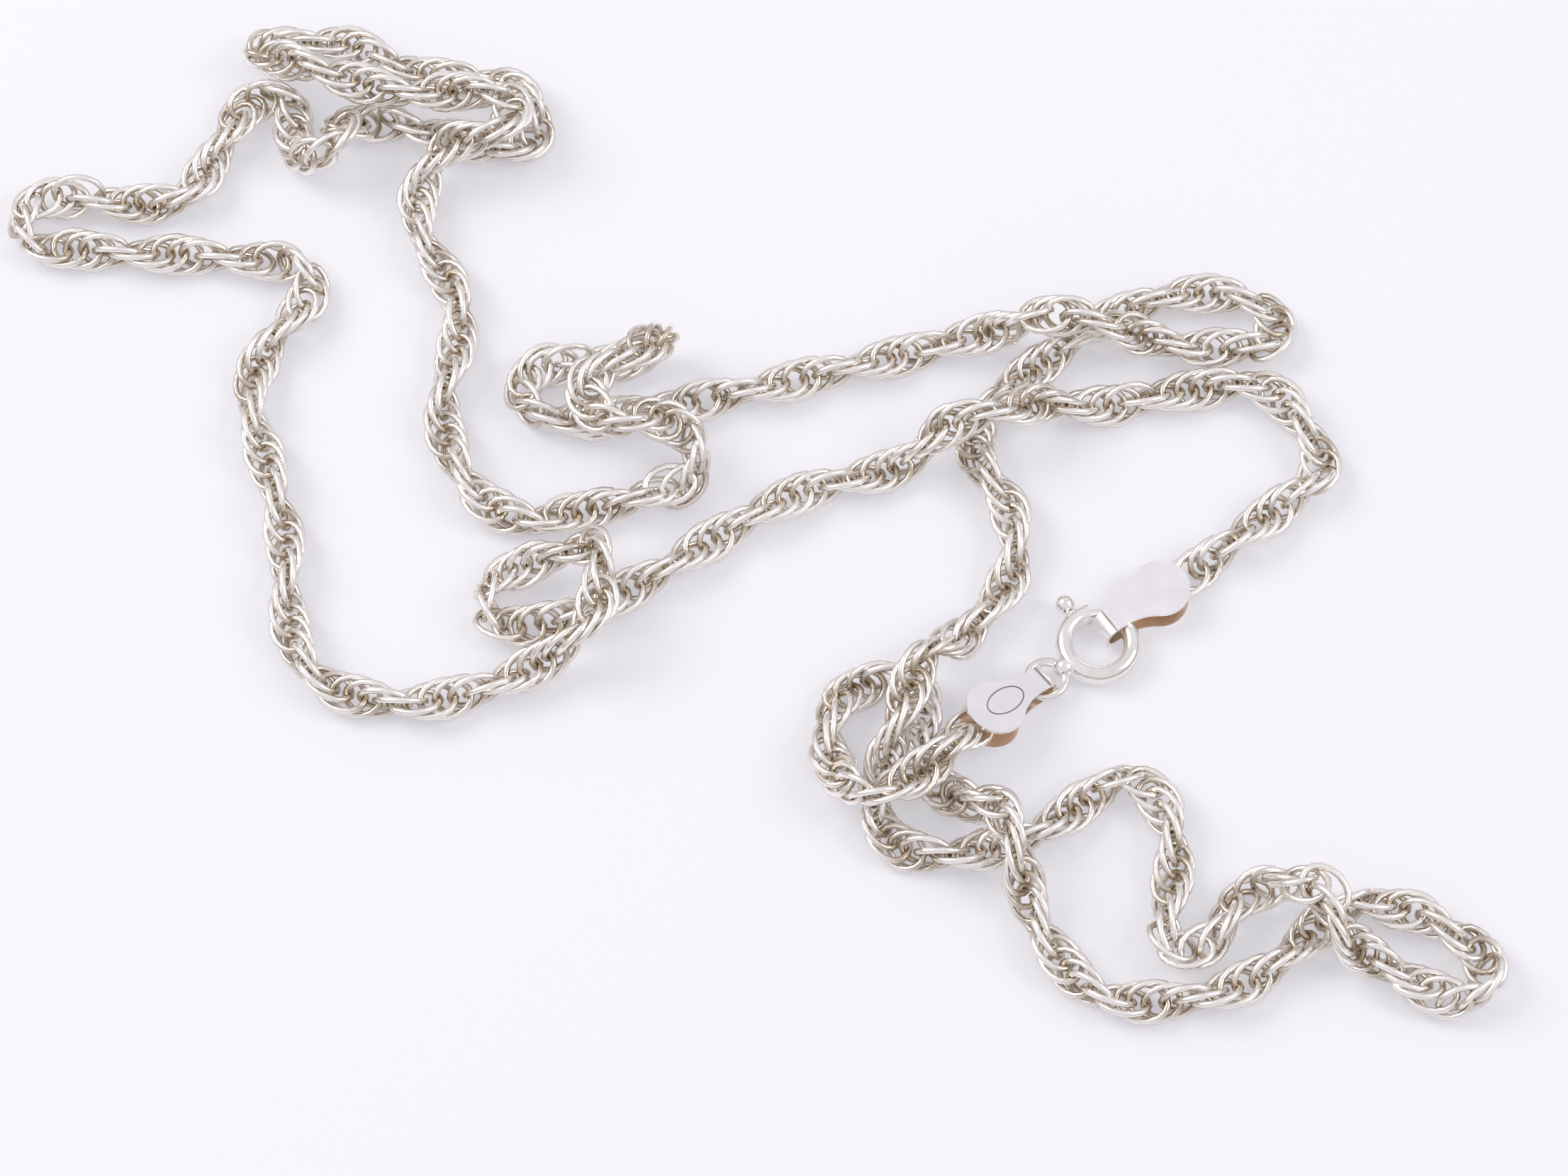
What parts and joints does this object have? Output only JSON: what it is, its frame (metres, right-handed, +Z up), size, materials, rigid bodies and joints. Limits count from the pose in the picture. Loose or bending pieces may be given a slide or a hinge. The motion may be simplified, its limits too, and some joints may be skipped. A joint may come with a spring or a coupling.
{
  "type": "rope chain necklace",
  "caption": "Loosely tangled rope chain of fine round links, closed by a sprung ring clasp and folded leaf end tags, lying flat.",
  "frame": {"origin": "on the surface under the middle of the tangle's bounding box", "axes": "+X along the tangle, from the upper left knot to the lower right tip; +Y across it, away from the viewer; +Z up from the surface"},
  "size_m": [0.1057, 0.0783, 0.0067],
  "materials": {
    "chain": "polished silver wire, warm in the recesses",
    "clasp": "polished silver",
    "trigger": "polished silver",
    "tags": "rolled silver sheet, tarnished inside"
  },
  "bodies": {
    "root": {"chain_left": "chain", "chain_right": "chain", "spring_ring": "clasp", "tag_left": "tags", "tag_right": "tags"},
    "trigger": {"trigger": "trigger"}
  },
  "joints": [
    {"name": "trigger_slide", "type": "hinge", "parent": "root", "child": "trigger", "pos_m": [0.02605, -0.0113, 0.00115], "axis": [0, 0, 1], "range_deg": [0, 55], "stiffness_Nm_per_rad": 0.0005, "springref_deg": -17.19}
  ]
}
